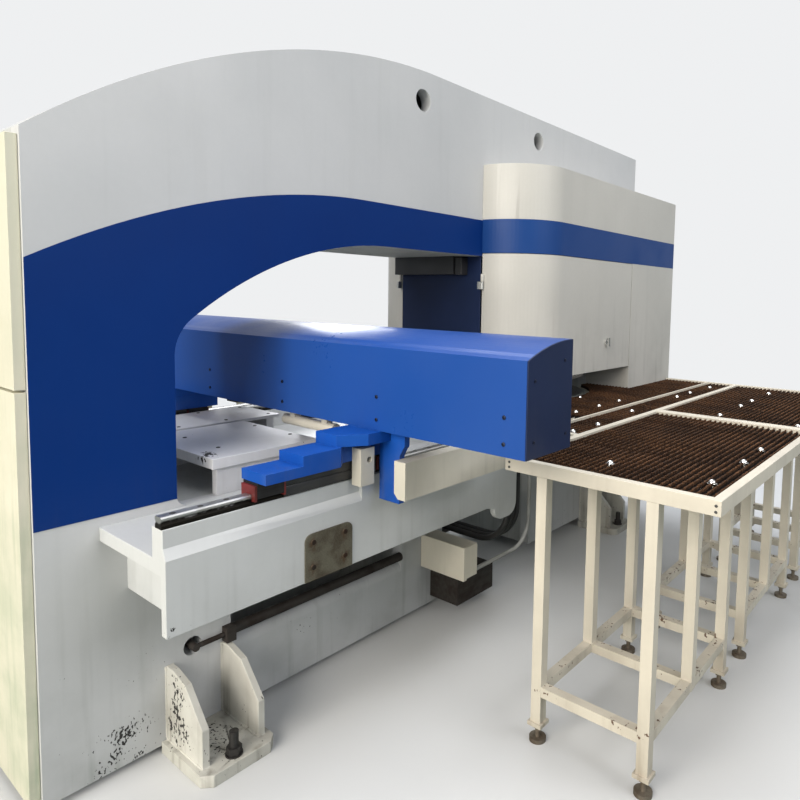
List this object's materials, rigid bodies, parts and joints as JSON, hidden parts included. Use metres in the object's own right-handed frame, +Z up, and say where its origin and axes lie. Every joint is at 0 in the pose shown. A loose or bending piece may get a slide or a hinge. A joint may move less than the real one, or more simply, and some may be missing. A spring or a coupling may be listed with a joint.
{
  "type": "cnc turret punch press",
  "caption": "Turret punch press with an O-shaped frame, a cross beam with sheet clamps, twin turrets in side housings and brush tables on both sides.",
  "frame": {"origin": "centre of the overall footprint, on the floor", "axes": "+Z up, +Y along the O-frame from its cabinet end to its turret end, +X across the machine to the side with the junction box"},
  "size_m": [3.686, 4.01, 2.604],
  "materials": {
    "frame_white": "satin",
    "core_white": "satin",
    "band_blue": "satin",
    "bed_white": "satin",
    "bracket_white": "chipped",
    "stud_black": "blackened",
    "guide_steel": "ground",
    "pad_steel": "machined, dull",
    "plate_zinc": "zinc plated",
    "box_cream": "satin",
    "pipe_black": "dull",
    "hose_rubber": "matte",
    "hood_white": "satin",
    "housing_blue": "satin",
    "panel_white": "satin",
    "hinge_steel": "satin",
    "throat_navy": "satin",
    "block_black": "satin",
    "cover_white": "chipped",
    "table_cream": "satin",
    "centre_cream": "satin",
    "brush_black": "bristle",
    "ball_steel": "polished",
    "foot_steel": "dull",
    "drive_grey": "dull",
    "cylinder_grey": "dull",
    "motor_black": "satin",
    "saddle_blue": "satin",
    "block_steel": "ground",
    "seal_red": "matte",
    "beam_blue": "satin",
    "cover_blue": "semi-gloss",
    "cap_navy": "satin",
    "rail_steel": "ground",
    "arm_blue": "satin",
    "fitting_cream": "satin",
    "carriage_steel": "milled",
    "clamp_steel": "blackened",
    "jaw_steel": "hardened",
    "screw_steel": "ground",
    "turret_steel": "machined",
    "tool_steel": "hardened",
    "door_white": "satin",
    "lock_steel": "satin",
    "cabinet_cream": "satin",
    "switch_black": "matte"
  },
  "bodies": {
    "base": {"frame_plate_right": "frame_white", "frame_plate_left": "frame_white", "frame_core": "core_white", "side_bands": "band_blue", "side_bed_right": "bed_white", "side_bed_left": "bed_white", "foot_brackets": "bracket_white", "anchor_studs": "stud_black", "guide_rails_y": "guide_steel", "access_pads": "pad_steel", "cabinet_backplate": "plate_zinc", "junction_box": "box_cream", "pipe_fittings": "pipe_black", "box_conduit": "box_cream", "hoses": "hose_rubber", "hoods": "hood_white", "housing_bands": "housing_blue", "column_panels": "panel_white", "door_hinges": "hinge_steel", "throat_panel": "throat_navy", "throat_block": "block_black", "throat_covers": "cover_white", "table_frames": "table_cream", "centre_tables": "centre_cream", "brush_rows": "brush_black", "ball_transfers": "ball_steel", "levelling_feet": "foot_steel", "turret_drives": "drive_grey", "ram_cylinder": "cylinder_grey", "y_drive": "motor_black"},
    "y_carriage": {"saddles": "saddle_blue", "bearing_blocks_y": "block_steel", "block_seals": "seal_red", "x_beam": "beam_blue", "beam_cover": "cover_blue", "beam_end_caps": "cap_navy", "x_rails": "rail_steel", "side_arm": "arm_blue", "beam_fittings": "fitting_cream", "x_drive": "motor_black"},
    "x_carriage": {"x_carriage": "carriage_steel", "clamp_bodies": "clamp_steel"},
    "clamp_1": {"clamp_jaw_1": "jaw_steel"},
    "clamp_2": {"clamp_jaw_2": "jaw_steel"},
    "clamp_3": {"clamp_jaw_3": "jaw_steel"},
    "x_screw": {"x_screw": "screw_steel"},
    "y_screw": {"y_screw": "screw_steel"},
    "upper_turret": {"turret_upper": "turret_steel", "punch_tools": "tool_steel"},
    "lower_turret": {"turret_lower": "turret_steel"},
    "ram": {"ram_striker": "screw_steel"},
    "right_door": {"housing_door_right": "door_white"},
    "left_door": {"housing_door_left": "door_white"},
    "right_lock": {"door_lock_right": "lock_steel"},
    "left_lock": {"door_lock_left": "lock_steel"},
    "upper_cabinet_door": {"cabinet_door_upper": "cabinet_cream"},
    "lower_cabinet_door": {"cabinet_door_lower": "cabinet_cream"},
    "main_switch": {"main_switch": "switch_black"},
    "upper_latch": {"latch_upper": "lock_steel"},
    "lower_latch": {"latch_lower": "lock_steel"}
  },
  "joints": [
    {"name": "y_axis", "type": "slide", "parent": "base", "child": "y_carriage", "axis": [0, 1, 0], "range_m": [-0.25, 0.6]},
    {"name": "x_axis", "type": "slide", "parent": "y_carriage", "child": "x_carriage", "axis": [1, 0, 0], "range_m": [-0.5, 0.5]},
    {"name": "clamp_jaw_1_lift", "type": "hinge", "parent": "x_carriage", "child": "clamp_1", "pos_m": [-0.6, -0.684, 1.074], "axis": [1, 0, 0], "range_deg": [0, 10]},
    {"name": "clamp_jaw_2_lift", "type": "hinge", "parent": "x_carriage", "child": "clamp_2", "pos_m": [0, -0.684, 1.074], "axis": [1, 0, 0], "range_deg": [0, 10]},
    {"name": "clamp_jaw_3_lift", "type": "hinge", "parent": "x_carriage", "child": "clamp_3", "pos_m": [0.6, -0.684, 1.074], "axis": [1, 0, 0], "range_deg": [0, 10]},
    {"name": "x_screw_spin", "type": "hinge", "parent": "y_carriage", "child": "x_screw", "pos_m": [0, -0.831, 1.235], "axis": [1, 0, 0], "continuous": true},
    {"name": "y_screw_spin", "type": "hinge", "parent": "base", "child": "y_screw", "pos_m": [-0.766, -0.935, 0.94], "axis": [0, 1, 0], "continuous": true},
    {"name": "upper_turret_spin", "type": "hinge", "parent": "base", "child": "upper_turret", "pos_m": [0, 0.765, 1.165], "axis": [0, 0, 1], "continuous": true},
    {"name": "lower_turret_spin", "type": "hinge", "parent": "base", "child": "lower_turret", "pos_m": [0, 0.765, 0.93], "axis": [0, 0, 1], "continuous": true},
    {"name": "ram_stroke", "type": "slide", "parent": "base", "child": "ram", "axis": [0, 0, -1], "range_m": [0, 0.038]},
    {"name": "right_door_swing", "type": "hinge", "parent": "base", "child": "right_door", "pos_m": [0.304, 0.123, 1.46], "axis": [0, 0, -1], "range_deg": [0, 75]},
    {"name": "left_door_swing", "type": "hinge", "parent": "base", "child": "left_door", "pos_m": [-0.304, 0.123, 1.46], "axis": [0, 0, 1], "range_deg": [0, 75]},
    {"name": "right_lock_turn", "type": "hinge", "parent": "right_door", "child": "right_lock", "pos_m": [0.601, 0.984, 1.307], "axis": [1, 0, 0], "range_deg": [0, 90]},
    {"name": "left_lock_turn", "type": "hinge", "parent": "left_door", "child": "left_lock", "pos_m": [-0.601, 0.984, 1.307], "axis": [-1, 0, 0], "range_deg": [0, 90]},
    {"name": "upper_cabinet_swing", "type": "hinge", "parent": "base", "child": "upper_cabinet_door", "pos_m": [-0.286, -1.947, 1.64], "axis": [0, 0, -1], "range_deg": [0, 110]},
    {"name": "lower_cabinet_swing", "type": "hinge", "parent": "base", "child": "lower_cabinet_door", "pos_m": [-0.286, -1.947, 0.66], "axis": [0, 0, -1], "range_deg": [0, 110]},
    {"name": "main_switch_turn", "type": "hinge", "parent": "upper_cabinet_door", "child": "main_switch", "pos_m": [0.117, -1.965, 1.467], "axis": [0, 1, 0], "range_deg": [0, 90]},
    {"name": "upper_latch_turn", "type": "hinge", "parent": "upper_cabinet_door", "child": "upper_latch", "pos_m": [0.02, -1.965, 1.7], "axis": [0, 1, 0], "range_deg": [0, 90]},
    {"name": "lower_latch_turn", "type": "hinge", "parent": "lower_cabinet_door", "child": "lower_latch", "pos_m": [0.02, -1.965, 0.302], "axis": [0, 1, 0], "range_deg": [0, 90]}
  ],
  "couplings": [
    {"joint": "clamp_jaw_2_lift", "follows": "clamp_jaw_1_lift", "ratio": 1},
    {"joint": "clamp_jaw_3_lift", "follows": "clamp_jaw_1_lift", "ratio": 1},
    {"joint": "x_screw_spin", "follows": "x_axis", "rad_per_m": 157.08},
    {"joint": "y_screw_spin", "follows": "y_axis", "rad_per_m": 157.08},
    {"joint": "lower_turret_spin", "follows": "upper_turret_spin", "ratio": 1}
  ]
}
